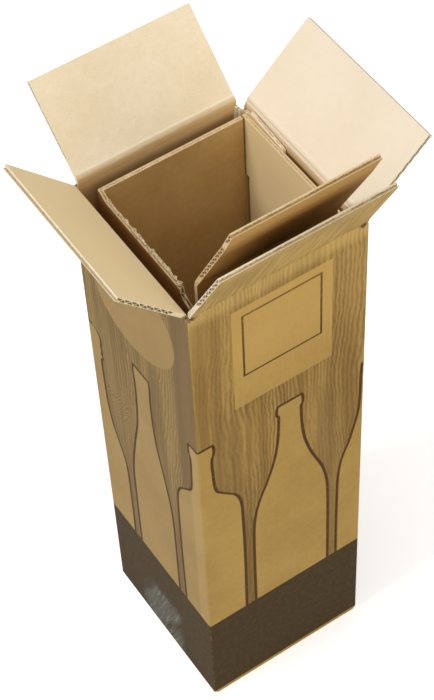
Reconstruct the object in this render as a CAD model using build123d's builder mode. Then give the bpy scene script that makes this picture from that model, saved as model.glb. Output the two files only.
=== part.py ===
# Upright corrugated shipping box for one bottle, with open top flaps and a folded inner sleeve.
# Millimetres, +Z up. The origin is the middle of the underside.
# +X runs along the front wall from left to right, +Y runs from the front wall to the back wall.
import math
import os

from build123d import *

# Corrugated board
board = 3.0             # thickness of the sheet
flute_pitch = 6.4       # crest to crest
liner = 0.45            # thickness of each flat liner
medium = 0.4            # thickness of the fluted paper
fold_radius = 1.6       # outside of every folded edge
score_depth = 0.9       # how deep a folded score is pressed into the inner liner
score_half_width = 2.2
root_rounding = 1.0     # inner edge of the mitres where the major flaps swing
hinge_clearance = 0.3   # between wall and flap, both when the flap is shut and when it hangs down

# Outer carton
carton_width = 126.0    # outside, along X
carton_depth = 126.0    # outside, along Y
major_crease_z = 438.5  # score of the front and back flaps, above the underside
front_flap_length = 60.0
back_flap_length = 62.5
minor_flap_length = 61.5
front_flap_angle = 63.4     # above level, outwards
back_flap_angle = 42.0
left_flap_angle = 47.6
right_flap_angle = 42.6
front_slot_left = 2.5   # from the carton's upright edge to the flap's side, at the score
front_slot_right = 1.0
front_taper_left = 4.0  # how far the flap's side leans in by its free edge
front_taper_right = 0.8
side_slot = 3.8
back_slot_left = 4.3
back_slot_right = 9.5
corner_slot_drop = 4.5  # the slots between the top flaps end in a point this far below the score
bottom_slot = 2.6       # from the carton's upright edges to the sides of its outer bottom flaps
bottom_seam = 0.5       # between the two outer bottom flaps
bottom_lap_play = 0.5   # from the inner bottom flaps to the walls beside them

# Glue tab, folded on from the back wall and glued inside the right wall
joint_setback = 10.3    # the back wall starts to turn this far from the back right edge
tab_width = 44.5        # from the back wall to the tab's end
tab_top_drop = 3.5      # highest point of the tab's top edge, below the score
tab_slope = 4.0         # fall of the top edge from there to the tab's end
tab_root_drop = 8.0     # the same edge at the tab's fold, below the score
tab_bevel = 5.0         # width of the cut from the fold up to the highest point
tab_corner = 3.0
tab_slit = 0.6          # the tab's top stands off the wall by this much
tab_slit_depth = 15.0
notch_depth = 15.5      # the right wall's end is cut away to this far below the score

# Inner sleeve
sleeve_left_gap = 10.2  # from the sleeve to the carton's left wall
sleeve_tab_gap = 0.3    # from the sleeve to the glue tab
sleeve_front_gap = 14.0     # from the sleeve to the carton's front wall
sleeve_back_gap = 5.8   # from the sleeve to the back wall
sleeve_top_drop = 7.0   # top edges, below the carton's score
left_wall_drop = 3.6    # the left wall's top edge lies this much lower
shoulder_width = 12.0   # that edge falls off over this distance from the front
shoulder_drop = 15.5    # to this far below the other walls
flute_hole_depth = 14.0 # flutes cut open at the shoulder, from the front panel's face
flap_slot_depth = 26.0  # slots beside the sleeve's front panel, below the carton's score
slot_left = 1.8         # width of each slot
slot_right = 1.2
free_edge_gap = 1.2     # from the back wall's free edge to the right wall, in the upper part
free_edge_setback = 2.8     # from the right wall's free edge to the back wall, in the lower part
free_edge_step = 51.0   # height of the upper part
free_step_gap = 0.6     # between the two edges where they cross
tongue_score_drop = 0.4     # sleeve flap's score, below the carton's score
tongue_length = 68.3
tongue_angle = 62.8
tip_length = 20.0       # beyond the second score
tip_angle = 65.4

# Derived sizes
half_width = carton_width / 2
half_depth = carton_depth / 2
inner_half_width = half_width - board
inner_half_depth = half_depth - board
minor_crease_z = major_crease_z - board
floor_z = 2 * board
mitre_setback = hinge_clearance / math.sqrt(2)
hinge_offset = hinge_clearance / 2
score_radius = (score_half_width**2 + score_depth**2) / (2 * score_depth)
tab_face = inner_half_width - board
bend_x = half_width - joint_setback
bend_inset = board * math.tan(math.radians(22.5))
tab_root_y = inner_half_depth - (tab_face - bend_x + bend_inset)
joint_end_y = half_depth - (inner_half_width - bend_x)
sleeve_right = tab_face - sleeve_tab_gap
sleeve_left = -inner_half_width + sleeve_left_gap
sleeve_back = inner_half_depth - sleeve_back_gap
sleeve_front = -inner_half_depth + sleeve_front_gap
sleeve_top_z = major_crease_z - sleeve_top_drop
sleeve_slot_z = major_crease_z - flap_slot_depth
free_step_z = sleeve_top_z - free_edge_step
panel_left = sleeve_left + board + slot_left
panel_right = sleeve_right - board - slot_right
tongue_score = ((panel_left + panel_right) / 2, sleeve_front, major_crease_z - tongue_score_drop)

# Each side of the box: the way it faces, and the way its scores run
FRONT = (Vector(0, -1, 0), Vector(1, 0, 0))
BACK = (Vector(0, 1, 0), Vector(-1, 0, 0))
LEFT = (Vector(-1, 0, 0), Vector(0, -1, 0))
RIGHT = (Vector(1, 0, 0), Vector(0, 1, 0))
UP = Vector(0, 0, 1)


def flute_hollow(side):
    """Outline of one hollow between the fluted paper and a liner, centred on X = 0.

    Side 1 is the hollow under the outer liner, side -1 the one over the inner liner.
    """
    half_wave = (board - 2 * liner - medium) / 2
    points = []
    for share in (-0.38, -0.19, 0, 0.19, 0.38):
        depth = -liner
        if abs(share) < 0.3:
            depth -= half_wave * (1 + math.cos(2 * math.pi * share))
        points.append((share * flute_pitch, depth if side == 1 else -board - depth))
    return points


def board_section(length, root_outer=0.0, root_inner=0.0, fluted=True):
    """Draw a sheet cut across its flutes: outer face on the local X axis, thickness below it.

    root_outer and root_inner are where the two faces start, so the root can be mitred.
    """
    Polygon((root_inner, -board), (length, -board), (length, 0), (root_outer, 0))
    if fluted:
        last_crest = length - 0.45 * flute_pitch
        hollow_count = int((last_crest - root_inner - board) / flute_pitch)
        for number in range(hollow_count):
            crest = last_crest - number * flute_pitch
            with Locations((crest, 0)):
                Polygon(*flute_hollow(-1), mode=Mode.SUBTRACT)
            with Locations((crest + flute_pitch / 2, 0)):
                Polygon(*flute_hollow(1), mode=Mode.SUBTRACT)


def flap_plane(score, side, angle):
    """Plane across a flap: local X runs up the flap, local Y points out of its outer face."""
    outward, along = side
    rise = math.radians(angle)
    return Plane(origin=score, x_dir=outward * math.cos(rise) + UP * math.sin(rise), z_dir=along)


def hinged_plane(middle_x, side, angle):
    """Plane across a major flap, which swings about an axis just outside its score."""
    outward, along = side
    score = Vector(middle_x, 0, major_crease_z) + outward * half_depth
    turned = flap_plane(score + (outward + UP) * hinge_offset, side, angle)
    root = turned.from_local_coords(Vector(hinge_offset, -hinge_offset, 0))
    return Plane(origin=root, x_dir=turned.x_dir, z_dir=along)


def wall_plane(score, side):
    """Plane across a wall: local X runs down the wall, local Y points out of its outer face."""
    outward, along = side
    return Plane(origin=score, x_dir=UP * -1, z_dir=along * -1)


def bend_reach(angle):
    """How far the inner face runs on past the score where a sheet is bent outwards to this angle."""
    return board * math.tan(math.radians(90 - angle) / 2)


def score_centre(angle):
    """Centre of the groove pressed along the inside of a bend, in the plane that halves the bend."""
    return (0, -board / math.cos(math.radians(90 - angle) / 2) + score_depth - score_radius)


hinged_root = dict(root_outer=mitre_setback, root_inner=mitre_setback + board)

# Outer carton: four walls, glue tab, closed bottom flaps and the two minor top flaps, one folded sheet
with BuildPart() as outer_carton:
    with BuildSketch(Plane.XY.offset(board)):
        Rectangle(carton_width, carton_depth)
        fillet(vertices().sort_by(Axis((0, 0, 0), (1, 1, 0)))[:-1], fold_radius)
        Rectangle(2 * inner_half_width, 2 * inner_half_depth, mode=Mode.SUBTRACT)
        # The right wall ends in a cut edge; beside it the back wall turns in two bends into the glue tab
        Polygon(
            (bend_x, half_depth),
            (inner_half_width, joint_end_y),
            (inner_half_width, half_depth),
            mode=Mode.SUBTRACT,
        )
        Polygon(
            (bend_x - bend_inset, inner_half_depth),
            (tab_face, tab_root_y),
            (inner_half_width, tab_root_y),
            (inner_half_width, joint_end_y),
            (bend_x, half_depth),
        )
    extrude(amount=major_crease_z - board)

    # Side walls end one board lower than the other two, so that their flaps fold in under the major pair
    with BuildSketch(Plane.XY.offset(minor_crease_z - score_depth)):
        Rectangle(carton_width, 2 * inner_half_depth)
    extrude(amount=2 * board, mode=Mode.SUBTRACT)

    # Front and back walls end in a mitre, for the swing of the major flaps
    for side, place_y in ((FRONT, -half_depth), (BACK, half_depth)):
        with BuildSketch(wall_plane((0, place_y, major_crease_z), side)):
            Polygon(
                (-board, board),
                (-board, -2 * board),
                (mitre_setback + 2 * board, -2 * board),
                (mitre_setback - board, board),
            )
        extrude(amount=carton_width, both=True, mode=Mode.SUBTRACT)
    mitre_edges = edges().filter_by(Axis.X).filter_by_position(
        Axis.Z, minor_crease_z - 2 * mitre_setback, minor_crease_z
    )
    fillet(mitre_edges, root_rounding)

    # Minor top flaps, bent outwards
    for side, place_x, angle in (
        (LEFT, -half_width, left_flap_angle),
        (RIGHT, half_width, right_flap_angle),
    ):
        score = (place_x, 0, minor_crease_z)
        with BuildSketch(wall_plane(score, side)):
            board_section(2 * board, root_inner=-bend_reach(angle), fluted=False)
        extrude(amount=half_depth - side_slot, both=True)
        with BuildSketch(flap_plane(score, side, angle)):
            board_section(minor_flap_length, root_inner=-bend_reach(angle))
        extrude(amount=half_depth - side_slot, both=True)
        with BuildSketch(flap_plane(score, side, (angle + 90) / 2)):
            with Locations(score_centre(angle)):
                Circle(score_radius)
        extrude(amount=half_depth, both=True, mode=Mode.SUBTRACT)

    # Notch over the joint, cut from both walls that meet there
    notch_top = major_crease_z + board
    notch_floor = major_crease_z - notch_depth
    tab_root_z = major_crease_z - tab_root_drop
    with BuildSketch(Plane.YZ.offset(inner_half_width)):
        Polygon(
            (half_depth - side_slot, notch_top),
            (half_depth - side_slot, minor_crease_z),
            (half_depth, notch_floor),
            (half_depth + board, notch_floor),
            (half_depth + board, notch_top),
        )
    extrude(amount=board, mode=Mode.SUBTRACT)
    with BuildSketch(Plane.XZ.offset(-half_depth - board)):
        Polygon(
            (half_width - back_slot_right, notch_top),
            (half_width - back_slot_right, minor_crease_z),
            (tab_face, tab_root_z),
            (inner_half_width, tab_root_z),
            (inner_half_width, notch_top),
        )
    extrude(amount=half_depth - tab_root_y + 2 * board, mode=Mode.SUBTRACT)

    # Glue tab, whose top stands off the wall
    with BuildSketch(Plane.YZ.offset(tab_face)):
        tab_top = major_crease_z - tab_top_drop
        tab_end = inner_half_depth - tab_width
        Polygon(
            (tab_root_y, floor_z + board),
            (tab_root_y, tab_root_z),
            (tab_root_y - tab_bevel, tab_top),
            (tab_end, tab_top - tab_slope),
            (tab_end, floor_z + board),
        )
        fillet(vertices().group_by(Axis.X)[0], tab_corner)
    extrude(amount=board)
    with BuildSketch(Plane.YZ.offset(inner_half_width - tab_slit)):
        Polygon(
            (tab_end - board, tab_top - tab_slit_depth),
            (half_depth, tab_top - tab_slit_depth),
            (half_depth, notch_top),
            (tab_end - board, notch_top),
        )
    extrude(amount=tab_slit, mode=Mode.SUBTRACT)

    # Slots between the top flaps, each narrowing to a point on the carton's upright edge
    slot_foot = major_crease_z - corner_slot_drop
    for sign_x, sign_y, slot_x in (
        (-1, -1, front_slot_left),
        (1, -1, front_slot_right),
        (-1, 1, back_slot_left),
    ):
        with BuildSketch(Plane.YZ.offset(sign_x * (half_width - slot_x / 2))):
            Polygon(
                (sign_y * (half_depth - side_slot), notch_top),
                (sign_y * (half_depth - side_slot), minor_crease_z),
                (sign_y * half_depth, slot_foot),
                (sign_y * (half_depth + board), slot_foot),
                (sign_y * (half_depth + board), notch_top),
            )
        extrude(amount=slot_x / 2, both=True, mode=Mode.SUBTRACT)
        with BuildSketch(Plane.XZ.offset(-sign_y * (half_depth - side_slot / 2))):
            Polygon(
                (sign_x * (half_width - slot_x), notch_top),
                (sign_x * (half_width - slot_x), major_crease_z),
                (sign_x * half_width, slot_foot),
                (sign_x * (half_width + board), slot_foot),
                (sign_x * (half_width + board), notch_top),
            )
        extrude(amount=side_slot / 2, both=True, mode=Mode.SUBTRACT)

    # Bottom flaps: an inner pair from the side walls, glued down on an outer pair from the other walls
    for side, place_y, slot in ((FRONT, -half_depth, bottom_slot), (BACK, half_depth, joint_setback)):
        outward, along = side
        middle = ((bottom_slot - slot) / 2, place_y, 0)
        with BuildSketch(Plane(origin=middle, x_dir=outward * -1, z_dir=along * -1)):
            board_section(half_depth - bottom_seam / 2)
        extrude(amount=half_width - (bottom_slot + slot) / 2, both=True)
    with BuildSketch(Plane.XY.offset(board)):
        with GridLocations(inner_half_width + bottom_seam / 2, 0, 2, 1):
            Rectangle(inner_half_width - bottom_seam / 2, 2 * (inner_half_depth - bottom_lap_play))
    extrude(amount=board)
    bottom_edges = edges().filter_by(Axis.X).group_by(Axis.Z)[0].sort_by(Axis.Y)
    fillet([bottom_edges[0], bottom_edges[-1]], fold_radius)

outer_carton.part.label = "outer_carton"

# Major top flaps: each swings at the outer face of its wall
front_middle = (front_slot_left - front_slot_right) / 2
front_half = half_width - (front_slot_left + front_slot_right) / 2
front_plane = hinged_plane(front_middle, FRONT, front_flap_angle)
with BuildPart() as front_flap:
    with BuildSketch(front_plane):
        board_section(front_flap_length, **hinged_root)
        fillet(vertices().sort_by_distance((mitre_setback + board, -board))[0], root_rounding)
    extrude(amount=front_half, both=True)

    # Its sides lean in towards the free edge
    for sign, taper in ((1, front_taper_left), (-1, front_taper_right)):
        with BuildSketch(Plane(front_plane.origin, x_dir=front_plane.x_dir, z_dir=front_plane.y_dir)):
            Polygon(
                (0, sign * front_half),
                (front_flap_length, sign * (front_half - taper)),
                (front_flap_length, sign * (front_half + board)),
                (0, sign * (front_half + board)),
            )
        extrude(amount=board, both=True, mode=Mode.SUBTRACT)

front_flap.part.label = "front_flap"

with BuildPart() as back_flap:
    back_middle = (back_slot_left - back_slot_right) / 2
    with BuildSketch(hinged_plane(back_middle, BACK, back_flap_angle)):
        board_section(back_flap_length, **hinged_root)
        fillet(vertices().sort_by_distance((mitre_setback + board, -board))[0], root_rounding)
    extrude(amount=half_width - (back_slot_left + back_slot_right) / 2, both=True)

back_flap.part.label = "back_flap"

# Inner sleeve: four walls and a tongue folded from one sheet, with two free edges at the back right
with BuildPart() as inner_sleeve:
    with BuildSketch(Plane.XY.offset(floor_z)):
        with Locations(((sleeve_left + sleeve_right) / 2, (sleeve_front + sleeve_back) / 2)):
            sleeve_width = sleeve_right - sleeve_left
            sleeve_depth = sleeve_back - sleeve_front
            Rectangle(sleeve_width, sleeve_depth)
            fillet(vertices().sort_by(Axis((0, 0, 0), (1, 1, 0)))[:-1], fold_radius)
            Rectangle(sleeve_width - 2 * board, sleeve_depth - 2 * board, mode=Mode.SUBTRACT)
    extrude(amount=sleeve_top_z - floor_z)

    # Slots on both sides of the front panel
    with BuildSketch(Plane.XZ.offset(-sleeve_front)):
        with Locations(
            (panel_left - slot_left / 2, sleeve_top_z),
            (panel_right + slot_right / 2, sleeve_top_z),
        ):
            Rectangle(slot_left, 2 * (sleeve_top_z - sleeve_slot_z))
    extrude(amount=board, both=True, mode=Mode.SUBTRACT)

    # The left wall's top edge lies lower and falls off in a ragged shoulder at the front
    left_top_z = sleeve_top_z - left_wall_drop
    with BuildSketch(Plane.YZ.offset(sleeve_left)):
        Polygon(
            (sleeve_back - board, sleeve_top_z + board),
            (sleeve_back - board, sleeve_top_z),
            (sleeve_back - 3 * board, left_top_z),
            (sleeve_front + shoulder_width, left_top_z - 0.05 * shoulder_drop),
            (sleeve_front + 0.86 * shoulder_width, sleeve_top_z - 0.59 * shoulder_drop),
            (sleeve_front + 0.62 * shoulder_width, sleeve_top_z - 0.76 * shoulder_drop),
            (sleeve_front + 0.28 * shoulder_width, sleeve_top_z - 0.84 * shoulder_drop),
            (sleeve_front + 0.13 * shoulder_width, sleeve_top_z - shoulder_drop),
            (sleeve_front - board, sleeve_top_z - shoulder_drop),
            (sleeve_front - board, sleeve_top_z + board),
        )
    extrude(amount=board, mode=Mode.SUBTRACT)
    with BuildSketch(wall_plane((sleeve_left, sleeve_front, left_top_z - flute_pitch / 2), LEFT)):
        for number, hollow_side in enumerate((-1, 1, -1)):
            with Locations((number * flute_pitch / 2, 0)):
                Polygon(*flute_hollow(hollow_side))
    extrude(amount=shoulder_width + flute_hole_depth, mode=Mode.SUBTRACT)

    # Front panel and its tongue, bent outwards at two scores
    panel_half = (panel_right - panel_left) / 2
    with BuildSketch(wall_plane(tongue_score, FRONT)):
        board_section(flap_slot_depth, root_inner=-bend_reach(tongue_angle), fluted=False)
    extrude(amount=panel_half, both=True)
    tongue_plane = flap_plane(tongue_score, FRONT, tongue_angle)
    with BuildSketch(tongue_plane):
        board_section(tongue_length, root_inner=-bend_reach(tongue_angle))
    extrude(amount=panel_half, both=True)
    tip_score = tongue_plane.from_local_coords(Vector(tongue_length, 0, 0))
    with BuildSketch(flap_plane(tip_score, FRONT, tip_angle)):
        board_section(tip_length)
    extrude(amount=panel_half, both=True)
    with BuildSketch(flap_plane(tongue_score, FRONT, (tongue_angle + 90) / 2)):
        with Locations(score_centre(tongue_angle)):
            Circle(score_radius)
    extrude(amount=half_width, both=True, mode=Mode.SUBTRACT)

    # Free edges: above the step the right wall covers the back wall's end, below it the other way round
    with BuildSketch(Plane.XY.offset(free_step_z)):
        with Locations((sleeve_right - board - free_edge_gap / 2, sleeve_back)):
            Rectangle(free_edge_gap, 2 * board)
    extrude(amount=free_edge_step, mode=Mode.SUBTRACT)
    with BuildSketch(Plane.XY.offset(floor_z)):
        with Locations((sleeve_right, sleeve_back - board - free_edge_setback / 2)):
            Rectangle(2 * board, free_edge_setback)
    extrude(amount=free_step_z + free_step_gap - floor_z, mode=Mode.SUBTRACT)
    with BuildSketch(Plane.XY.offset(free_step_z)):
        with Locations((sleeve_right - board / 2, sleeve_back - board / 2)):
            Rectangle(board, board)
    extrude(amount=free_step_gap, mode=Mode.SUBTRACT)

inner_sleeve.part.label = "inner_sleeve"

os.makedirs("parts", exist_ok=True)
for piece in (outer_carton, front_flap, back_flap, inner_sleeve):
    export_step(piece.part, f"parts/{piece.part.label}.step")
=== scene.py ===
# %% [markdown]
# A tall corrugated shipping box for one bottle stands open on a white ground. Its solid form comes
# from the packed part, so this lesson starts by loading that and keeping its size. What is left is
# how the board looks: printed paper outside, bare kraft inside, cut edges that show the flutes.

# %% Load the box
import math

import bpy
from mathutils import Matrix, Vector


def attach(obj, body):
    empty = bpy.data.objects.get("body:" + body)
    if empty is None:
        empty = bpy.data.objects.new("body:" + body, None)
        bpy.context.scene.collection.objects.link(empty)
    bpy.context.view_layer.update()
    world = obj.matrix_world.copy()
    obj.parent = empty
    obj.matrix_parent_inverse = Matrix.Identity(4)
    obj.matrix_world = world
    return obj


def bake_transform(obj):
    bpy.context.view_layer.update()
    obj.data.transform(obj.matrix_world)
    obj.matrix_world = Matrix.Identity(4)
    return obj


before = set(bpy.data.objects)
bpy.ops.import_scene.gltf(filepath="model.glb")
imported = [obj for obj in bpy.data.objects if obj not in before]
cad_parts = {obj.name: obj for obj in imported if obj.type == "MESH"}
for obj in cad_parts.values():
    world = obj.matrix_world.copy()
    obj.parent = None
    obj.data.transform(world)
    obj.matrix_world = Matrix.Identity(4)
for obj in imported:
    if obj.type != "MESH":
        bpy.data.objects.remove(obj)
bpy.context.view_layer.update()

# %% [markdown]
# The box is seen from above its front left corner through a fairly long lens. The camera's place
# was worked out from the box's own corners, so it is simply typed in. A long lens from far away
# keeps the upright edges nearly parallel, as they are in a product picture.

# %% Camera
bpy.ops.object.select_all(action="DESELECT")
bpy.ops.object.camera_add(
    location=(-0.41636, -0.67570, 1.33320),
    rotation=[math.radians(angle) for angle in (37.3889, 2.0181, -33.8852)],
)
camera = bpy.context.object
camera.data.lens = 105.777
camera.data.sensor_width = 36
bpy.context.scene.camera = camera
print("camera height:", round(camera.location.z, 3))

# %% [markdown]
# Cardboard has hardly any shine, so it needs soft light from all around and one large lamp that
# gives the walls different tones. That lamp hangs high on the left, where it also shines down into
# the box. A weak warm lamp at the front right fills the front wall, and one overhead lifts the
# open flaps. Together they add up to about one, so a colour renders nearly as it is written in its
# material. Only rays on their way to the eye see the surroundings as pure white.

# %% Light
def seen_rays(tree):
    """1 for rays that show a surface to the eye: straight, mirrored or through glass."""
    path = tree.nodes.new("ShaderNodeLightPath")
    either = tree.nodes.new("ShaderNodeMath")
    either.operation = "MAXIMUM"
    tree.links.new(path.outputs["Is Camera Ray"], either.inputs[0])
    tree.links.new(path.outputs["Is Glossy Ray"], either.inputs[1])
    every = tree.nodes.new("ShaderNodeMath")
    every.operation = "MAXIMUM"
    tree.links.new(either.outputs[0], every.inputs[0])
    tree.links.new(path.outputs["Is Transmission Ray"], every.inputs[1])
    return every.outputs[0]


world = bpy.data.worlds.new("studio")
bpy.context.scene.world = world
world.use_nodes = True
sky = world.node_tree
soft_sky = sky.nodes["Background"]
soft_sky.inputs["Color"].default_value = (0.97, 0.98, 1, 1)
soft_sky.inputs["Strength"].default_value = 0.41
white_sky = sky.nodes.new("ShaderNodeBackground")
white_sky.inputs["Color"].default_value = (1, 1, 1, 1)
white_sky.inputs["Strength"].default_value = 1.0
sky_switch = sky.nodes.new("ShaderNodeMixShader")
sky.links.new(seen_rays(sky), sky_switch.inputs[0])
sky.links.new(soft_sky.outputs[0], sky_switch.inputs[1])
sky.links.new(white_sky.outputs[0], sky_switch.inputs[2])
sky.links.new(sky_switch.outputs[0], sky.nodes["World Output"].inputs["Surface"])
bpy.context.scene.view_settings.view_transform = "Standard"


def soft_lamp(name, place, aim, size, watts, colour):
    """Hang a square lamp at a place and turn its face towards an aim."""
    bpy.ops.object.select_all(action="DESELECT")
    turn = (Vector(aim) - Vector(place)).to_track_quat("-Z", "Y").to_euler()
    bpy.ops.object.light_add(type="AREA", location=place, rotation=turn)
    lamp = bpy.context.object
    lamp.name = name
    lamp.data.shape = "SQUARE"
    lamp.data.size = size
    lamp.data.energy = watts
    lamp.data.color = colour
    return lamp


key = soft_lamp("key_lamp", (-1.7, 0.15, 2.0), (0, 0, 0.4), 0.7, 26, (1, 1, 1))
fill = soft_lamp("fill_lamp", (0.3, -1.9, 1.1), (0, 0, 0.3), 1.0, 11.5, (1, 0.83, 0.5))
top = soft_lamp("top_lamp", (0, -0.2, 2.6), (0, 0, 0.4), 1.2, 11, (1, 1, 1))
print("lamp power:", key.data.energy, fill.data.energy, top.data.energy)

# %% [markdown]
# The ground is one large white sheet. A glow that is added only for rays on their way to the eye
# lifts it to plain white. Where the box keeps the lamps off, the glow alone is a little darker, so
# a faint shadow stays.

# %% Floor
bpy.ops.object.select_all(action="DESELECT")
bpy.ops.mesh.primitive_plane_add(size=8)
floor = bpy.context.object
floor.name = "floor"
white_ground = bpy.data.materials.new("white_ground")
white_ground.use_nodes = True
ground = white_ground.node_tree
sheet = ground.nodes["Principled BSDF"]
sheet.inputs["Base Color"].default_value = (0.97, 0.97, 0.97, 1)
sheet.inputs["Roughness"].default_value = 0.9
glow = ground.nodes.new("ShaderNodeEmission")
glow.inputs["Strength"].default_value = 0.42
dark = ground.nodes.new("ShaderNodeEmission")
dark.inputs["Strength"].default_value = 0.0
only_seen = ground.nodes.new("ShaderNodeMixShader")
ground.links.new(seen_rays(ground), only_seen.inputs[0])
ground.links.new(dark.outputs[0], only_seen.inputs[1])
ground.links.new(glow.outputs[0], only_seen.inputs[2])
both = ground.nodes.new("ShaderNodeAddShader")
ground.links.new(sheet.outputs[0], both.inputs[0])
ground.links.new(only_seen.outputs[0], both.inputs[1])
ground.links.new(both.outputs[0], ground.nodes["Material Output"].inputs["Surface"])
floor.data.materials.append(white_ground)
print("floor width:", round(floor.dimensions.x, 1), "m")

# %% [markdown]
# The finishes below are drawn with numbers, not with pictures: how deep a point lies in the board,
# how far along a wall it is, how high above the ground. In Blender such sums are Math nodes. To
# keep them readable, a Field stands for one number that varies over the surface, and plain
# arithmetic on fields adds the nodes.

# %% Fields
class Field:
    """One number that varies over a surface, as a node socket."""

    def __init__(self, tree, socket):
        self.tree = tree
        self.socket = socket

    def math(self, operation, *others):
        node = self.tree.nodes.new("ShaderNodeMath")
        node.operation = operation
        for slot, value in zip(node.inputs, (self,) + others):
            if isinstance(value, Field):
                self.tree.links.new(value.socket, slot)
            else:
                slot.default_value = value
        return Field(self.tree, node.outputs[0])

    def __add__(self, other):
        return self.math("ADD", other)

    def __sub__(self, other):
        return self.math("SUBTRACT", other)

    def __mul__(self, other):
        return self.math("MULTIPLY", other)

    def __abs__(self):
        return self.math("ABSOLUTE")

    def least(self, other):
        return self.math("MINIMUM", other)

    def most(self, other):
        return self.math("MAXIMUM", other)

    def over(self, edge, soft=0.05):
        """0 below the edge, 1 above it, with a soft change between."""
        node = self.tree.nodes.new("ShaderNodeMapRange")
        node.interpolation_type = "SMOOTHSTEP"
        self.tree.links.new(self.socket, node.inputs["Value"])
        node.inputs["From Min"].default_value = edge - soft
        node.inputs["From Max"].default_value = edge + soft
        return Field(self.tree, node.outputs["Result"])

    def under(self, edge, soft=0.05):
        return self.over(edge, soft) * -1 + 1

    def between(self, low, high, soft=0.05):
        return self.over(low, soft) * self.under(high, soft)

    def wave(self, length):
        """Even ripples between 0 and 1 that repeat after a length."""
        return (self * (2 * math.pi / length)).math("SINE") * 0.5 + 0.5


def choose(switch, when_0, when_1):
    """Go from one field or number to another as the switch goes from 0 to 1."""
    return (switch * -1 + 1) * when_0 + switch * when_1


def distance(across, up):
    return (across * across + up * up).math("SQRT")


print("what a field can do:", [word for word in vars(Field) if not word.startswith("_")])

# %% [markdown]
# A finish also needs colours and clouds. Paper colours are easiest to pick on a screen, so one
# helper turns such a colour into light. Another mixes two colours by a field, and a third gives
# cloudy noise over any fields, for instance over the way along a wall and the height.

# %% Colours and clouds
def tint(tree, factor, first, second):
    """Mix two colours by a field. A colour is a tuple of light intensities or a socket."""
    node = tree.nodes.new("ShaderNodeMix")
    node.data_type = "RGBA"
    tree.links.new(factor.socket, node.inputs[0])
    for slot, colour in ((node.inputs[6], first), (node.inputs[7], second)):
        if isinstance(colour, tuple):
            slot.default_value = colour
        else:
            tree.links.new(colour, slot)
    return node.outputs[2]


def paper(red, green, blue):
    """A colour picked on a screen, 0 to 255, turned into the light that Blender uses."""
    def linear(value):
        value /= 255
        return value / 12.92 if value <= 0.04045 else ((value + 0.055) / 1.055) ** 2.4
    return (linear(red), linear(green), linear(blue), 1.0)


def noise(tree, across, up, third=0.0, detail=2.0, roughness=0.5):
    """Cloudy noise over two or three fields, around 0.5."""
    place = tree.nodes.new("ShaderNodeCombineXYZ")
    for slot, value in zip(place.inputs, (across, up, third)):
        if isinstance(value, Field):
            tree.links.new(value.socket, slot)
        else:
            slot.default_value = value
    cloud = tree.nodes.new("ShaderNodeTexNoise")
    tree.links.new(place.outputs[0], cloud.inputs["Vector"])
    cloud.inputs["Scale"].default_value = 1.0
    cloud.inputs["Detail"].default_value = detail
    cloud.inputs["Roughness"].default_value = roughness
    return Field(tree, cloud.outputs["Fac"])


print("a mid kraft in light:", [round(v, 3) for v in paper(196, 160, 98)])

# %% [markdown]
# Every finish starts in the same way. It needs the place of each point in millimetres and the way
# that the face points there, and the Texture Coordinate node gives both. A fold strip is different:
# its points keep a note of where they lay when it was made, and that is read.

# %% New finishes
mm_per_metre = 1000.0


def new_finish(name, bends=False):
    """A fresh material with its nodes, and fields for place in millimetres and face direction.

    With bends, it reads the place that was stored on each point when the piece was made."""
    finish = bpy.data.materials.new(name)
    finish.use_nodes = True
    tree = finish.node_tree
    spot = tree.nodes.new("ShaderNodeTexCoord")
    where = spot.outputs["Object"]
    if bends:
        stored = tree.nodes.new("ShaderNodeAttribute")
        stored.attribute_name = "rest_place"
        where = stored.outputs["Vector"]
    parts = []
    for output, size in ((where, mm_per_metre), (spot.outputs["Normal"], 1.0)):
        split = tree.nodes.new("ShaderNodeSeparateXYZ")
        tree.links.new(output, split.inputs[0])
        parts.append([Field(tree, socket) * size for socket in split.outputs])
    return finish, tree, parts[0], parts[1]


def dress(finish, *names):
    """Give a finish to every slot of some pieces."""
    for name in names:
        for slot in bpy.data.objects[name].material_slots:
            slot.material = finish


# %% [markdown]
# These are the sizes of the box in millimetres. The materials need them to know where a wall ends
# and a flap begins. They repeat what the solid part was built from.

# %% Sizes that the finishes need
half = 63.0             # half the outside width, and half the depth
board = 3.0             # thickness of the board
skin = 0.1              # a point this near the inner face counts as inner paper
fold_radius = 1.6       # outer radius of the upright edges
major_score = 438.5     # height of the front and back flaps' scores
minor_score = 435.5     # height of the side flaps' scores
hinge_offset = 0.15     # the major flaps turn this far outside their scores
side_flap_end = 59.2    # the side flaps reach this far from the middle
groove_half = 4.5       # each score is a pressed groove, this far to both sides
groove_floor = 1.75     # and this deep in the board
rise = {"left": 47.6, "right": 42.6, "front": 63.4, "back": 42.0}
flap_sin = {side: math.sin(math.radians(angle)) for side, angle in rise.items()}
flap_cos = {side: math.cos(math.radians(angle)) for side, angle in rise.items()}
band_top = 97.5         # height of the dark band round the foot
flute_pitch = 6.4       # from one wave of the inner paper to the next
print("print zone above the band:", major_score - band_top, "mm")

# %% [markdown]
# Bare kraft is paper with long brown fibres. It is never one flat brown: there are cloudy lighter
# and darker patches, short fibres lying mostly one way, and a few dark specks. The flutes under the
# paper also press through as a faint washboard, which is added to the bump. Beside a fold the inner
# paper gets painted shade. A little above it a ridge stands up in the bump, with a painted
# highlight along it.

# %% Bare kraft
inside_pale, inside_deep = paper(243, 229, 203), paper(232, 214, 180)
outside_pale, outside_deep = paper(183, 151, 87), paper(165, 134, 72)
dark_speck = paper(128, 96, 56)
# painted shade beside each fold, and a painted highlight along the ridge above it
fold_painted_shade_paper, ridge_painted_highlight_paper = paper(196, 166, 116), paper(250, 240, 214)
ridge_half = 0.55
paper_roughness, paper_shine = 0.58, 0.12


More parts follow.
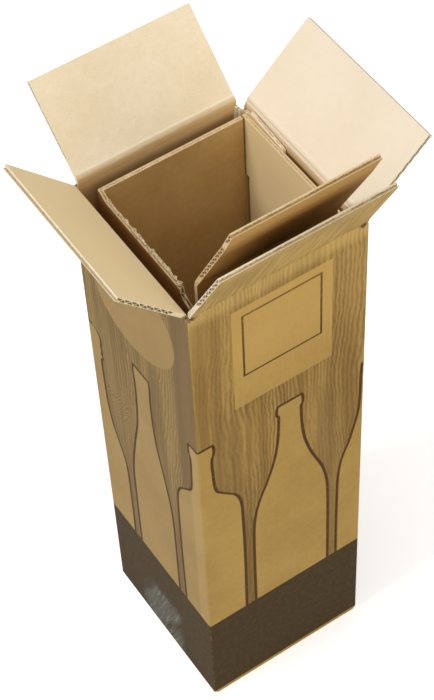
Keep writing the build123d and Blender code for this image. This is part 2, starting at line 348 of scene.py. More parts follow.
def kraft(tree, place, pale, deep, speck):
    """Colour of bare paper, and its fibres for the bump."""
    x, y, z = place
    cloud = noise(tree, x * 0.022, y * 0.022, z * 0.022, detail=3.0)
    mottle = noise(tree, x * 0.22, y * 0.22, z * 0.22, detail=2.0)
    fibre = noise(tree, x * 0.45, y * 0.45, z * 2.1, detail=4.0, roughness=0.65)
    dots = noise(tree, x * 1.3, y * 1.3, z * 1.9, detail=1.0)
    base = tint(tree, (cloud * 0.5 + mottle * 0.2 + fibre * 0.3).over(0.5, 0.17), pale, deep)
    return tint(tree, dots.over(0.76, 0.04) * 0.45, base, speck), fibre


def fold_marks(tree, bare, up_flap, along_fold, height):
    """Inner paper beside a fold: painted shade over it, and a ridge at a height above with a
    painted highlight.
    """
    wander = noise(tree, along_fold * 0.06, 2.0, detail=3.0)
    line = (up_flap + wander * 1.6 - 0.8).between(height - ridge_half, height + ridge_half, 0.45)
    ridge = line * (wander * 0.8 + 0.3)
    # painted shade over the paper beside the fold, then a painted highlight on the ridge line
    inner_painted_light_and_shade = tint(tree, up_flap.between(-2.4, height - 0.9, 0.7) * 0.45, bare, fold_painted_shade_paper)
    return tint(tree, ridge * 0.8, inner_painted_light_and_shade, ridge_painted_highlight_paper), ridge


def finish_paper(tree, colour, fibre, ripple, strength=0.3):
    """Link a paper's colour and its relief to the shader."""
    shader = tree.nodes["Principled BSDF"]
    tree.links.new(colour, shader.inputs["Base Color"])
    bump = tree.nodes.new("ShaderNodeBump")
    bump.inputs["Strength"].default_value = strength
    bump.inputs["Distance"].default_value = 0.0002
    tree.links.new((fibre * 0.5 + ripple).socket, bump.inputs["Height"])
    tree.links.new(bump.outputs[0], shader.inputs["Normal"])
    tree.links.new((fibre * 0.25 + paper_roughness).socket, shader.inputs["Roughness"])
    shader.inputs["Specular IOR Level"].default_value = paper_shine


print("inside paper:", [round(v, 2) for v in inside_pale[:3]])

# %% [markdown]
# A cut edge of corrugated board shows three papers: two flat liners and a wavy one between them.
# Where the cut runs across the flutes, the hollows are real in the solid, and only the paper's
# thickness is pale. Where it runs along them, one sees two pale lines with a dark gap between:
# painted shade where the hollow would be, broken up as if crushed. Both come from one number, the
# depth below the outer face, and from the way the face points.

# %% Cut edges
# the last colour is painted shade for the hollow between the liners
edge_pale, edge_shade, edge_gap_painted_shade = paper(242, 233, 212), paper(212, 192, 154), paper(128, 100, 64)
gap_from, gap_to = 1.25, 1.8    # depth of the crushed gap below the outer face


def cut_edge(tree, place, depth, across_flutes, liners=(edge_pale, edge_shade)):
    """Colour of a cut through the board. across_flutes is 1 where the cut crosses the flutes."""
    x, y, z = place
    crush = noise(tree, x * 0.35, y * 0.35, z * 0.35, detail=3.0, roughness=0.7)
    fray = noise(tree, x * 1.7, y * 1.7, z * 1.7, detail=2.0)
    middle = depth + crush * 2.0 - 1.0
    # painted shade: a dark gap between the liners where the solid has no hollow, broken up by the
    # crush pattern
    gap = middle.between(gap_from, gap_to, 0.25) * (crush.under(0.52, 0.08) * 0.65 + 0.15)
    gap = gap * (across_flutes * -1 + 1)
    lined = tint(tree, fray.over(0.52, 0.25), *liners)
    return tint(tree, gap, lined, edge_gap_painted_shade)


print("pale liners beside the gap:", gap_from, "and", round(board - gap_to, 2), "mm")

# %% [markdown]
# The outside is printed like planks: upright grain lines that sway a little. A grain line is a
# level line of a slowly changing number. So the distance along the wall is pushed to and fro by a
# tall cloud, and the result is cut into even steps. At one place on the left wall the lines turn
# into arcs, where the number is simply the distance from a point beside them. Broad pale and dark
# streaks keep the print from looking like ruled paper.

# %% Wood print
wood_light, wood_mid, wood_dark = paper(180, 148, 86), paper(146, 116, 62), paper(112, 85, 44)
wood_low, wood_pale_below_fold = paper(118, 93, 52), paper(222, 188, 122)
wood_shade, wood_painted_light = paper(120, 95, 58), paper(196, 163, 98)
line_pitch, arc_pitch = 3.1, 2.3
figure_middle = (-184.0, 272.0)

# broad pale and dark streaks: left, right, low, high and strength, dark when below 0
streaks = (
    (-84.0, -63.5, 236.0, 440.0, -0.75),
    (-99.0, -85.0, 232.0, 412.0, 0.6),
    (-116.0, -101.0, 200.0, 340.0, -0.35),
    (-24.0, -17.0, 232.0, 332.0, 0.5),
    (16.0, 24.0, 190.0, 332.0, 0.42),
    (-49.0, -31.0, 232.0, 322.0, -0.35),
    (26.0, 44.0, 205.0, 300.0, -0.4),
    (-178.0, -164.0, 275.0, 362.0, -0.3),
    (-154.0, -140.0, 240.0, 300.0, 0.3),
)


def on_front(along):
    return abs(along).under(half, 0.5)


def wood_print(tree, along, up):
    """Printed wood grain over a wall, from the distance along it and the height, with painted light
    at the top of the front.
    """
    sway = noise(tree, along * 0.012, up * 0.0036, detail=1.0)
    ripple = noise(tree, along * 0.07, up * 0.03, 3.7, detail=3.0, roughness=0.6)
    ring = (along + sway * 44.0 + ripple * 8.0) * (1 / line_pitch)
    ray = distance(along - figure_middle[0], up - figure_middle[1])
    in_figure = along.between(-181.0, -142.0, 4.0) * up.between(206.0, 268.0, 6.0)
    in_figure = ray.between(14.0, 50.0, 5.0) * in_figure
    ring = choose(in_figure, ring, (ray + ripple * 16.0) * (1 / arc_pitch))
    line = ring.math("FRACT").between(0.35, 0.85, 0.3)
    fibre = noise(tree, along * 1.1, up * 0.045, 8.1, detail=4.0, roughness=0.72)
    fine = noise(tree, along * 0.9 + up * 0.18, up * 0.16, 6.4, detail=3.0, roughness=0.7)
    streak = noise(tree, along * 0.1, up * 0.004, 2.2, detail=2.0, roughness=0.55)
    patch = noise(tree, along * 0.035, up * 0.011, 1.3, detail=2.0)
    ground = tint(tree, (streak * 0.75 + fibre * 0.25).over(0.5, 0.12), wood_mid, wood_light)
    ground = tint(tree, up.under(215.0, 60.0) * 0.55, ground, wood_low)
    # painted light: the print at the top of the front, right of the panel, is made lighter
    painted_light_beside_panel = along.between(36.0, 62.0, 12.0) * up.over(350.0, 50.0)
    ground = tint(tree, painted_light_beside_panel * 0.6, ground, wood_painted_light)
    for left, right, low, high, share in streaks:
        inside = along.between(left, right, 2.2) * up.between(low, high, 16.0)
        ground = tint(tree, inside * abs(share), ground, wood_light if share > 0 else wood_shade)
    dark = line * (patch.over(0.44, 0.15) * 0.6 + 0.2) + fine.over(0.56, 0.1) * 0.25
    # just below the front fold the print is made paler and its grain lines fainter
    below_fold = (up + patch * 14.0).over(434.5, 5.0) * on_front(along)
    ground = tint(tree, below_fold * 0.5, ground, wood_pale_below_fold)
    dark = dark * (below_fold * -0.45 + 1)
    return tint(tree, dark * (fibre.over(0.42, 0.2) * 0.6 + 0.4), ground, wood_dark)


print("broad streaks in the print:", len(streaks))

# %% [markdown]
# Plain bottle shapes are left bare in the wood print and drawn round with a dark line. A bottle is
# the same left and right of its middle, so one curve of half its width against its height draws
# it. Five shapes, slender and squat, stand side by side round the walls, as cut-out shapes would.

# %% Bottle shapes
# Height above the ground and half the width to the middle of the line, in millimetres
tall_bottle = (
    (97, 30.2), (150, 30.1), (175, 29.9), (190, 29.4), (201, 28.2), (211, 26.2), (221, 23.1),
    (231, 19.2), (241, 15.8), (251, 13.0), (261, 10.9), (275, 9.3), (290, 8.6), (297, 8.7),
    (299, 9.8), (304, 9.9), (307.8, 8.8),
)
slim_bottle = (
    (97, 24.5), (165, 24.5), (183, 24.2), (195, 23.2), (205, 21.8), (215, 19.9), (225, 18.0),
    (235, 15.8), (245, 13.4), (255, 11.4), (265, 10.3), (280, 9.3), (295, 8.8), (306, 9.0),
    (316, 9.6), (321.4, 8.8),
)
cap_bottle = (
    (97, 29.1), (163, 29.0), (175, 28.4), (183, 27.2), (193, 24.0), (203, 19.8), (215, 15.4),
    (225, 13.4), (233, 12.2), (245, 11.3), (265, 10.7), (280, 10.8), (283, 13.0), (286, 11.8),
    (290, 12.6), (294, 11.8), (298, 12.6), (302, 12.6), (306, 10.4), (310.5, 3.0),
)
broad_bottle = (
    (97, 29.6), (165, 29.4), (190, 28.9), (205, 27.1), (215, 24.4), (225, 20.6), (237, 17.4),
    (245, 15.4), (255, 13.5), (265, 12.7), (295, 12.2), (303, 11.6),
)
squat_bottle = (
    (97, 29.9), (215, 29.9), (225, 29.5), (233, 28.2), (239, 25.8), (245, 20.8), (251, 15.0),
    (255, 12.0), (261, 10.4), (275, 9.6), (293, 9.5), (298, 11.0), (304, 11.0), (306.8, 9.8),
)
# each shape with the places of its middle along the unrolled walls, from the front's middle
bottle_rows = (
    (tall_bottle, (5.6, 198.0)),
    (slim_bottle, (-125.1, 255.0)),
    (cap_bottle, (-187.0, 317.0)),
    (broad_bottle, (72.5,)),
    (squat_bottle, (-62.2, 133.0)),
)
line_width = 2.3
widest = 40.0           # half width that the curve counts as 1
print("bottles round the box:", sum(len(middles) for shape, middles in bottle_rows))

# %% [markdown]
# A Float Curve node reads the half width at a height. The distance to a bottle's middle is taken
# from it, which leaves how far a point lies inside the shape. Half a line's width inwards begins
# the bare paper, half a line's width outwards ends the ink, and what lies between is the outline.

# %% Bottle fields
def half_width_at(tree, up, profile):
    """Half the bottle's width at a height, read from a smooth curve."""
    low, high = profile[0][0], profile[-1][0]
    curve = tree.nodes.new("ShaderNodeFloatCurve")
    points = curve.mapping.curves[0].points
    while len(points) < len(profile):
        points.new(0.5, 0.5)
    for point, (height, width) in zip(points, profile):
        point.location = ((height - low) / (high - low), width / widest)
    curve.mapping.update()
    share = (up - low) * (1 / (high - low))
    tree.links.new(share.most(0.0).least(1.0).socket, curve.inputs["Value"])
    return Field(tree, curve.outputs[0]) * widest


def bottles(tree, along, up):
    """Two fields: 1 inside a bottle's bare shape, and 1 on its outline."""
    shape = bare = None
    for profile, middles in bottle_rows:
        off = abs(along - middles[0])
        for middle in middles[1:]:
            off = off.least(abs(along - middle))
        inset = half_width_at(tree, up, profile) - off
        inset = inset.least(up * -1 + profile[-1][0])
        whole = inset.over(-line_width / 2, 0.3)
        inner = inset.over(line_width / 2, 0.3)
        shape = whole if shape is None else shape.most(whole)
        bare = inner if bare is None else bare.most(inner)
    return bare, shape * (bare * -1 + 1)


print("line width:", line_width, "mm")

# %% [markdown]
# The box has been dragged. At the left of the band the ink is rubbed grey, in hazy patches and in
# slanting scratches, and small grey specks are scattered over the whole band. Both come from clouds
# that are stretched along a slanting line, and they are kept to a rough corner of the left wall.

# %% Scuffs
rub_grey, rub_white = paper(102, 101, 92), paper(168, 166, 152)
scuff_left, scuff_right, scuff_top = -154.0, -105.0, 55.0


def scuffed(tree, along, up, band, colour):
    """Rub the ink of the band grey at the left and sprinkle specks over it."""
    lean = along - up * 0.42
    near = along.between(scuff_left, scuff_right, 6.0) * up.under(scuff_top, 7.0)
    near = near * (up - along * 1.7).under(290.0, 14.0)
    haze = noise(tree, lean * 0.09, up * 0.02, 5.0, detail=3.0, roughness=0.6)
    scratch = noise(tree, lean * 0.4, up * 0.03, 9.0, detail=4.0, roughness=0.7)
    colour = tint(tree, near * haze.over(0.43, 0.16) * 0.75, colour, rub_grey)
    colour = tint(tree, near * scratch.over(0.6, 0.08) * 0.45, colour, rub_white)
    specks = noise(tree, along * 0.9, up * 0.9, 4.0, detail=3.0, roughness=0.8)
    return tint(tree, band * specks.over(0.72, 0.03) * 0.3, colour, rub_grey)


print("scuffed patch:", scuff_right - scuff_left, "by", scuff_top, "mm")

# %% [markdown]
# The front also carries a plain pale panel with a thin frame in it, the left wall a bare oval, and
# a dark band runs round the foot of all four walls. Ink on rough paper is uneven: it is thin where
# the fibres stand up and rubbed off along the upright edges. The left wall is painted greyer, as
# painted shade, since it is turned away from the warm lamp. The top of the front wall and a strip
# beside the corner are painted lighter, as painted light.

# %% Panel and band
ink_line, ink_band, ink_band_thin = paper(76, 48, 16), paper(60, 45, 19), paper(73, 56, 26)
# painted shade for the left wall, and painted light for the top of the front and beside the corner
wood_painted_shade, kraft_painted_shade, bare_lit = paper(104, 88, 66), paper(140, 120, 92), paper(232, 194, 116)
panel = (-34.3, 37.0, 329.6, 422.3)         # left, right, low and high edge
frame_line = (-26.6, 29.0, 358.3, 414.4)
frame_half = 0.75                           # half the width of the frame's line
oval_middle, oval_long, oval_short = (-126.0, 380.0), 47.0, 36.0
oval_cos, oval_sin = math.cos(math.radians(25)), math.sin(math.radians(25))
bare_foot = 4.6                             # below the band the front wall is bare


def rectangle(along, up, box, grow=0.0):
    left, right, low, high = box
    across = along.between(left - grow, right + grow, 0.25)
    return across * up.between(low - grow, high + grow, 0.25)


def panel_and_oval(along, up):
    """Two fields: 1 on the bare panel and oval, and 1 on the line of the frame."""
    aside, above = along - oval_middle[0], up - oval_middle[1]
    long_way = (aside * oval_cos + above * oval_sin) * (1 / oval_long)
    short_way = (above * oval_cos - aside * oval_sin) * (1 / oval_short)
    oval = distance(long_way, short_way).under(1.0, 0.02)
    hole = rectangle(along, up, frame_line, -frame_half)
    frame_ring = rectangle(along, up, frame_line, frame_half) * (hole * -1 + 1)
    return (rectangle(along, up, panel) * 0.9).most(oval * 0.85), frame_ring


def outside_print(tree, along, up, corner, bare_colour, left_wall_painted_shade):
    """Everything printed on the four walls, with painted shade and painted light. corner is the
    distance to an upright edge.
    """
    bare, outline = bottles(tree, along, up)
    # painted shade: the left wall's print and bare paper are made greyer
    wood = tint(tree, left_wall_painted_shade * 0.34, wood_print(tree, along, up), wood_painted_shade)
    bare_colour = tint(tree, left_wall_painted_shade * 0.36, bare_colour, kraft_painted_shade)
    # painted light: the top of the front wall is made lighter
    lit = up.over(340.0, 60.0) * on_front(along)
    bare_colour = tint(tree, lit * 0.34, bare_colour, bare_lit)
    colour = tint(tree, bare, wood, bare_colour)
    open_ground, frame_ring = panel_and_oval(along, up)
    colour = tint(tree, open_ground, colour, bare_colour)
    blotch = noise(tree, along * 0.25, up * 0.25, detail=4.0, roughness=0.7)
    worn = blotch.over(0.62, 0.1) * 0.3 * -1 + 1
    colour = tint(tree, outline.most(frame_ring) * worn, colour, ink_line)
    ink = tint(tree, blotch.over(0.55, 0.12), ink_band, ink_band_thin)
    foot = abs(along).under(half, 0.2) * up.under(bare_foot, 0.3)
    band = up.under(band_top, 0.35) * (foot * -1 + 1)
    colour = tint(tree, band, tint(tree, foot, colour, bare_colour), ink)
    edge_rub = corner.under(0.9, 0.7) * blotch.over(0.52, 0.12) * 0.3
    colour = tint(tree, edge_rub, colour, bare_colour)
    # painted light: a strip beside the corner is made lighter
    painted_light_beside_corner = along.between(-74.0, -half - 0.5, 1.2) * bare * (band * -1 + 1)
    colour = tint(tree, painted_light_beside_corner * 0.13, colour, bare_lit)
    return scuffed(tree, along, up, band, colour)


print("panel size:", round(panel[1] - panel[0], 1), "by", round(panel[3] - panel[2], 1), "mm")

# %% [markdown]
# Now the carton itself. One material does the whole folded sheet. It finds the depth of a point
# below the outer face: near 0 it is the printed outside, near the board's thickness it is bare
# inside paper, and between them it is a cut edge. Round a corner the depth is measured to the
# rounded fold, and on a side flap to the flap's own plane.

# %% Carton fields
carton_finish, tree, place, facing = new_finish("printed_carton")
x, y, z = place
far_x, far_y = abs(x), abs(y)
corner_x = (far_x - (half - fold_radius)).most(0.0)
corner_y = (far_y - (half - fold_radius)).most(0.0)
flat = (far_x * -1 + half).least(far_y * -1 + half)
wall = distance(corner_x, corner_y) * -1 + fold_radius + (flat - fold_radius).most(0.0)
past_board = board + 0.05
wall = wall - wall.over(past_board, 0.01) * board     # the glue tab lies one board further in
bottom = z - z.over(past_board, 0.01) * board
depth = choose(wall.over(past_board, 0.01), wall, bottom)

to_right = x.over(0.0, 1.0)
turn_sin = choose(to_right, flap_sin["left"], flap_sin["right"])
turn_cos = choose(to_right, flap_cos["left"], flap_cos["right"])
up_flap = (far_x - half) * turn_cos + (z - minor_score) * turn_sin
in_flap = (far_x * -1 + half) * turn_sin + (z - minor_score) * turn_cos
on_side = far_x.over(half - board - 1.0, 0.01) * far_y.under(side_flap_end + 0.1, 0.02)
far_outside = -10.0
depth = depth.most(choose(on_side, far_outside, in_flap))
on_flap = on_side * up_flap.over(0.3, 0.3)
in_groove = on_side * abs(up_flap).under(groove_half, 0.5)
across_flutes = abs(facing[1]).over(0.7, 0.1)
print("carton nodes for its fields:", len(tree.nodes))

# %% [markdown]
# The print needs the distance along the walls as if they were unrolled. It starts at the middle of
# the front, runs below 0 on the left wall and above it on the right, and ends on the back. Then the
# papers are laid on by depth: print or flap ink outside, cut edge between, bare paper inside. The
# inner paper is pinker on the right flap. On the left flap it is painted lighter and warmer, as
# painted light, and low down in the box it is painted darker and browner, as painted shade.

# %% Carton finish
flap_light, flap_deep = paper(184, 155, 92), paper(158, 131, 76)
# painted shade for the inner paper low down in the box
low_inside_painted_shade, deep_inside_painted_shade = paper(222, 186, 124), paper(176, 128, 72)
# the first is painted light for the left flap's inner paper, the second a pinker paper for the
# right flap
left_flap_painted_light, inside_right = paper(254, 231, 181), paper(236, 222, 202)
front_top_painted_light = paper(226, 190, 116)

side_on = (far_x - far_y).over(0.0, 0.02)
along_front_back = choose(y.over(0.0, 1.0), x, x * -1 + 4 * half)
along_sides = choose(to_right, y * -1 - 2 * half, y + 2 * half)
along = choose(side_on, along_front_back, along_sides)
corner = (far_x.least(far_y) - half) * -1
on_left = x.under(0.0, 1.0)

bare_out, fibre = kraft(tree, place, outside_pale, outside_deep, dark_speck)
bare_in, fibre_in = kraft(tree, place, inside_pale, inside_deep, dark_speck)
printed = outside_print(tree, along, z, corner, bare_out, side_on * on_left)
# painted light: the top of the front wall is made a little lighter
printed = tint(tree, z.over(385.0, 45.0) * on_front(along) * 0.12, printed, front_top_painted_light)
flap_cloud = noise(tree, y * 0.3, up_flap * 0.02, detail=4.0, roughness=0.65)
flap_ink = tint(tree, flap_cloud.over(0.5, 0.2), flap_light, flap_deep)
outside = tint(tree, on_flap, printed, flap_ink)
underside = z.under(0.3, 0.1)
outside = tint(tree, underside, outside, bare_out)
edge = cut_edge(tree, place, depth, across_flutes * on_flap)
# painted shade on the cut edges at the top corners, below the score
corner_painted_shade = far_x.over(57.5, 1.0) * far_y.over(57.5, 1.0) * z.between(430.0, 437.5, 1.0)
edge = tint(tree, corner_painted_shade * 0.85, edge, edge_gap_painted_shade)
colour = tint(tree, depth.over(0.16, 0.06), outside, edge)
inner_painted_light_and_shade, ridge = fold_marks(tree, bare_in, up_flap, y, 2.4)
# painted light: the left flap's inner paper is made lighter and warmer
inner_painted_light_and_shade = tint(tree, on_side * on_left * 0.85, inner_painted_light_and_shade, left_flap_painted_light)
inner_painted_light_and_shade = tint(tree, on_side * to_right * 0.6, inner_painted_light_and_shade, inside_right)
# painted shade: the inner walls are made browner and darker low down in the box
inner_painted_light_and_shade = tint(tree, z.under(434.0, 3.0) * 0.8, inner_painted_light_and_shade, low_inside_painted_shade)
inner_painted_light_and_shade = tint(tree, z.under(428.0, 8.0) * 0.55, inner_painted_light_and_shade, deep_inside_painted_shade)
colour = tint(tree, depth.over(board - skin, 0.04), colour, inner_painted_light_and_shade)
groove_paper = in_groove * depth.over(groove_floor, 0.1) * (across_flutes * -1 + 1)
colour = tint(tree, groove_paper, colour, inner_painted_light_and_shade)
ripple = choose(on_flap, z, up_flap).wave(flute_pitch) * 0.4 + on_side * ridge
finish_paper(tree, colour, fibre_in, ripple)
dress(carton_finish, "outer_carton")
print("carton nodes:", len(tree.nodes))

# %% [markdown]
# Each big flap is flat, so its depth is the distance to one plane through its hinge line. The
# outside is printed with grain and the inside is bare paper. A soft ridge runs along the fold in
# the bump, where the inner paper was pulled over the score; its pale line is a painted highlight,
# and the paper just below it has painted shade. The same finish also serves for the strip of board
# round the fold, where the depth is measured to the wall, to the round bend or to the flap, and
# there the wall below the score gets painted shade.

# %% Flap finish
def flap_fields(side, towards, y, z):
    """Depth below a big flap's outer face, and the way up the flap from the hinge line."""
    out = y * towards - (half + hinge_offset)
    high = z - (major_score + hinge_offset)
    depth = out * -flap_sin[side] + high * flap_cos[side] - hinge_offset
    return depth, out * flap_cos[side] + high * flap_sin[side]


def flap_finish(name, side, towards, over_fold=False):
    """Finish of the front or back flap; towards is -1 for the front and 1 for the back."""
    finish, tree, place, facing = new_finish(name, bends=over_fold)
    x, y, z = place
    depth, up_flap = flap_fields(side, towards, y, z)
    if over_fold:
        wall = y * -towards + half
        hinge_y, hinge_z = half + hinge_offset, major_score + hinge_offset
        round_hinge = distance(y * towards - hinge_y, z - hinge_z) - hinge_offset
        in_bend = z.over(hinge_z, 0.02) * up_flap.under(0.0, 0.02)
        depth = choose(in_bend, depth.most(wall), round_hinge)
    bare_in, fibre = kraft(tree, place, inside_pale, inside_deep, dark_speck)
    inner_painted_light_and_shade, ridge = fold_marks(tree, bare_in, up_flap, x, 1.9)
    if over_fold:
        # painted shade on the strip's part below the score
        inner_painted_light_and_shade = tint(tree, z.under(major_score, 3.0) * 0.8, inner_painted_light_and_shade, low_inside_painted_shade)
    grain = noise(tree, x * 0.3, up_flap * 0.02, 6.0, detail=4.0, roughness=0.65)
    broad_grain = noise(tree, x * 0.03, up_flap * 0.02)
    ink = tint(tree, (grain * 0.7 + broad_grain * 0.3).over(0.5, 0.1), flap_light, flap_deep)
    edge = cut_edge(tree, place, depth, abs(facing[0]).over(0.7, 0.1))
    colour = tint(tree, depth.over(0.14, 0.06), ink, edge)
    colour = tint(tree, depth.over(board - skin, 0.04), colour, inner_painted_light_and_shade)
    finish_paper(tree, colour, fibre, up_flap.wave(flute_pitch) * 0.4 + ridge)
    return finish


dress(flap_finish("front_flap_paper", "front", -1), "front_flap")
dress(flap_finish("back_flap_paper", "back", 1), "back_flap")
print("flap rises:", rise["front"], "and", rise["back"], "degrees")

# %% [markdown]
# The inner sleeve is bare board on both sides, a little browner than the carton. Its walls stand
# straight, so their depth is the distance to the nearest outer plane. Above the walls only its long
# flap is left, which bends twice, and the depth is measured to those two planes. The outside is
# tinted darker. The inside of the right wall is painted paler, as painted light from the lamp on
# the left.

# %% Sleeve finish
sleeve_left, sleeve_right, sleeve_front, sleeve_back = -49.8, 56.7, -46.0, 54.2
tongue_rise, tip_rise = math.radians(62.8), math.radians(65.4)
tongue_foot, tongue_length = 438.1, 68.3
sleeve_pale, sleeve_deep = paper(222, 190, 135), paper(201, 168, 111)
sleeve_outside, sleeve_lit = paper(168, 127, 66), paper(236, 218, 170)
sleeve_shade, score_shade = paper(150, 96, 52), paper(170, 134, 84)
sleeve_liners = (paper(228, 208, 168), paper(196, 166, 118))
walls_end, slots_begin = 431.7, 411.0
sleeve_finish, tree, place, facing = new_finish("sleeve_paper")
x, y, z = place
walls = (x - sleeve_left).least(x * -1 + sleeve_right)
walls = walls.least(y - sleeve_front).least(y * -1 + sleeve_back)
back, high = y - sleeve_front, z - tongue_foot
up_tongue = back * -math.cos(tongue_rise) + high * math.sin(tongue_rise)
in_tongue = back * math.sin(tongue_rise) + high * math.cos(tongue_rise)
tip_back = back + tongue_length * math.cos(tongue_rise)
tip_high = high - tongue_length * math.sin(tongue_rise)
in_tip = tip_back * math.sin(tip_rise) + tip_high * math.cos(tip_rise)
in_tongue = choose(up_tongue.over(tongue_length, 0.2), in_tongue, in_tip).most(back)
on_tongue = z.over(walls_end, 0.1)
depth = choose(on_tongue, walls, in_tongue)
in_groove = on_tongue * abs(up_tongue).under(groove_half, 0.5)
side_cut = abs(facing[0]).over(0.7, 0.1) * x.between(-46.0, 53.1, 0.1) * z.over(slots_begin, 0.5)
bare, fibre = kraft(tree, place, sleeve_pale, sleeve_deep, dark_speck)
bare = tint(tree, depth.under(0.5, 0.1) * 0.72, bare, sleeve_outside)
bare = tint(tree, x.under(-49.0, 0.5) * 0.4, bare, sleeve_shade)
# painted light on the inside of the right wall
painted_light_right_inside = x.between(sleeve_right - board - 0.4, sleeve_right - 0.5, 0.1)
bare = tint(tree, painted_light_right_inside * 0.8, bare, sleeve_lit)
edge = cut_edge(tree, place, depth, side_cut, sleeve_liners)
is_cut = depth.between(0.12, board - 0.12, 0.04)
is_cut = is_cut * (in_groove * depth.over(groove_floor, 0.1) * -1 + 1)
is_cut = is_cut.most(side_cut * depth.between(0.02, board - 0.02, 0.02))
colour = tint(tree, is_cut, bare, edge)
score = abs(up_tongue - tongue_length).under(1.4, 0.8)
colour = tint(tree, score * 0.5, colour, score_shade)
finish_paper(tree, colour, fibre, choose(on_tongue, z, up_tongue).wave(flute_pitch) * 0.5)
dress(sleeve_finish, "inner_sleeve")
print("sleeve nodes:", len(tree.nodes))

# %% [markdown]
# Faces, edges and points are picked in code here, as a mouse would pick them. A test looks at the
# middle of each one, and what passes stays selected when edit mode comes back. Other helpers tell
# which way an edge runs, push a surface in and out by a cloud pattern, and store each point's place
# in an attribute, which the finish of a fold strip reads.

# %% Helpers for meshes
x_axis, y_axis = 0, 1


def pick(mesh_object, kind, test):
    """In edit mode, select the points, edges or faces whose middle passes a test."""
    bpy.ops.mesh.select_mode(type=kind)
    bpy.ops.mesh.select_all(action="DESELECT")
    bpy.ops.object.mode_set(mode="OBJECT")
    mesh = mesh_object.data
    for item in {"VERT": mesh.vertices, "EDGE": mesh.edges, "FACE": mesh.polygons}[kind]:
        if kind == "VERT":
            spot = item.co
        elif kind == "FACE":
            spot = item.center
        else:
            spot = (mesh.vertices[item.vertices[0]].co + mesh.vertices[item.vertices[1]].co) / 2
        item.select = bool(test(spot, item))
    bpy.ops.object.mode_set(mode="EDIT")


def edge_runs_along(axis, least, mesh_object, edge):
    """True when an edge's ends lie more than a least length in metres apart along an axis."""
    first, second = (mesh_object.data.vertices[number].co for number in edge.vertices)
    return abs(first[axis] - second[axis]) > least


def push_by_clouds(mesh_object, clouds, mid_level, strength):
    """Push the active object's surface in and out by a cloud pattern, for good."""
    bpy.ops.object.modifier_add(type="DISPLACE")
    push = mesh_object.modifiers[-1]
    push.texture = clouds
    push.mid_level = mid_level
    push.strength = strength
    bpy.ops.object.modifier_apply(modifier=push.name)


def remember_places(mesh):
    """Store where each point is now in an attribute, which a finish reads instead of the live
    place.
    """
    places = mesh.attributes.new("rest_place", "FLOAT_VECTOR", "POINT")
    for place, point in zip(places.data, mesh.vertices):
        place.vector = point.co


mesh_helpers = (pick, edge_runs_along, push_by_clouds, remember_places)
print("mesh helpers:", [helper.__name__ for helper in mesh_helpers])

# %% [markdown]
# The big flaps are pieces of their own in the solid, cut at a slant where they turn. Real board
# runs through the fold without a gap. So a short strip of board is bent over each fold: a flat
# strip as thick as the board is pushed round the hinge line in small steps, like a slice of a
# wheel, then drawn out a little down the wall and up the flap. It sits a hair proud of both.

# %% Fold strips
crumple = bpy.data.textures.new("crumple", "CLOUDS")
crumple.noise_scale = 0.006
proud_inside, proud_outside = 0.05, 0.03    # millimetres that a strip stands out from the board
bend_steps, cross_cuts = 6, 60
strip_reach = 0.0046                        # metres down the wall and up the flap
end_zone, end_slant = 0.0045, 0.004         # where a strip's ends begin, and how far they slant


def at_outer_end(spot, hinge, up):
    """True for points at a strip's end on the flap, on the outer side of the board."""
    return abs((spot - hinge).cross(up).x) < 0.0005 and (spot - hinge).dot(up) > end_zone


def fold_strip(name, side, towards, left, right):
    """Bent strip of board over the fold of the front or back flap, from left to right in mm."""
    hinge = Vector((0, towards * (half + hinge_offset), major_score + hinge_offset)) / 1000
    inner, outer = towards * (half - board - proud_inside), towards * (half + proud_outside)
    bpy.ops.object.select_all(action="DESELECT")
    bpy.ops.mesh.primitive_plane_add(size=1, location=(0, 0, 0))
    strip = bpy.context.object
    strip.name = name
    bpy.ops.object.mode_set(mode="EDIT")
    bpy.ops.mesh.select_all(action="SELECT")
    bpy.ops.transform.resize(value=((right - left) / 1000, abs(outer - inner) / 1000, 1))
    middle = ((left + right) / 2000, (inner + outer) / 2000, hinge.z)
    bpy.ops.transform.translate(value=middle)
    turn = towards * math.radians(90 - rise[side])
    for _ in range(bend_steps):
        bpy.ops.mesh.extrude_region_move()
        bpy.ops.transform.rotate(value=turn / bend_steps, orient_axis="X", center_override=hinge)
    up = Vector((0, towards * flap_cos[side], flap_sin[side]))
    bpy.ops.mesh.extrude_region_move(TRANSFORM_OT_translate={"value": up * strip_reach})
    pick(strip, "FACE", lambda spot, face: face.normal.z < -0.9 and abs(spot.z - hinge.z) < 1e-5)
    bpy.ops.mesh.extrude_region_move(TRANSFORM_OT_translate={"value": (0, 0, -strip_reach)})
    # slant both ends like the cuts that they hide, so that little shows outside
    foot, outer_side = hinge.z - end_zone, (half - 0.5) / 1000
    pick(strip, "VERT", lambda spot, vert: spot.z < foot and abs(spot.y) > outer_side)
    bpy.ops.transform.translate(value=(0, 0, end_slant))
    pick(strip, "VERT", lambda spot, vert: at_outer_end(spot, hinge, up))
    bpy.ops.transform.translate(value=up * -end_slant)
    bpy.ops.mesh.select_all(action="SELECT")
    bpy.ops.mesh.normals_make_consistent(inside=False)
    # cross cuts give the wrinkles somewhere to bend
    pick(strip, "EDGE", lambda spot, edge: edge_runs_along(x_axis, 0.01, strip, edge))
    bpy.ops.mesh.subdivide(number_cuts=cross_cuts)
    bpy.ops.object.mode_set(mode="OBJECT")
    push_by_clouds(strip, crumple, mid_level=0.25, strength=0.0006)
    bpy.ops.object.shade_smooth_by_angle(angle=math.radians(40))
    remember_places(strip.data)
    strip.data.materials.append(flap_finish(name + "_paper", side, towards, over_fold=True))
    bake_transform(strip)
    print(name, "faces:", len(strip.data.polygons))


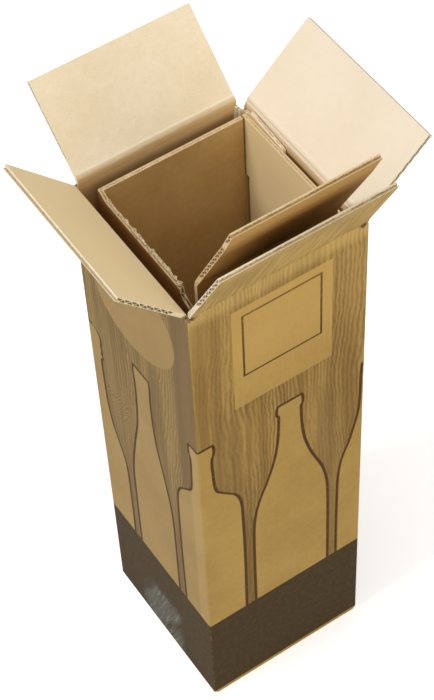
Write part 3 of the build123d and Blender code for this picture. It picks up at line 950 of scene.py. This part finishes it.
fold_strip("front_fold", "front", -1, -60.4, 61.9)
fold_strip("back_fold", "back", 1, -58.6, 53.4)

# %% [markdown]
# The top edge of the sleeve's left wall is torn: its liners have pulled apart and stand up in small
# pale tufts. A thin bar is laid along that edge and cut into many short pieces. A cloud pattern
# then pushes its faces in and out, which leaves a ragged crest. Most of the bar stays in the wall.

# %% Torn edge
tuft_pale, tuft_deep = paper(240, 226, 192), paper(168, 136, 88)
torn_finish, tree, place, _ = new_finish("torn_paper")
x, y, z = place
tuft = noise(tree, x * 0.9, y * 0.9, z * 0.9, detail=4.0, roughness=0.75)
colour = tint(tree, tuft.over(0.5, 0.14), tuft_pale, tuft_deep)
finish_paper(tree, colour, tuft, tuft, strength=0.6)

torn_foot, torn_height, torn_width = 427.6, 0.9, 1.4
torn_front, torn_back = -32.0, 46.0
bpy.ops.object.select_all(action="DESELECT")
bpy.ops.mesh.primitive_cube_add(size=1, location=(0, 0, 0))
torn = bpy.context.object
torn.name = "torn_edge"
bpy.ops.object.mode_set(mode="EDIT")
bpy.ops.mesh.select_all(action="SELECT")
torn_size = Vector((torn_width, torn_back - torn_front, torn_height)) / 1000
bpy.ops.transform.resize(value=torn_size)
middle = (sleeve_left + board * 0.68, (torn_front + torn_back) / 2, torn_foot + torn_height / 2)
bpy.ops.transform.translate(value=Vector(middle) / 1000)
bpy.ops.mesh.subdivide(number_cuts=5)
pick(torn, "EDGE", lambda spot, edge: edge_runs_along(y_axis, 0.004, torn, edge))
bpy.ops.mesh.subdivide(number_cuts=14)
bpy.ops.object.mode_set(mode="OBJECT")
tufts = bpy.data.textures.new("tufts", "CLOUDS")
tufts.noise_scale = 0.0036
tufts.noise_depth = 3
push_by_clouds(torn, tufts, mid_level=0.46, strength=0.0042)
bpy.ops.object.shade_smooth_by_angle(angle=math.radians(25))
torn.data.materials.append(torn_finish)
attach(torn, "carton")
print("torn edge faces:", len(torn.data.polygons))

# %% [markdown]
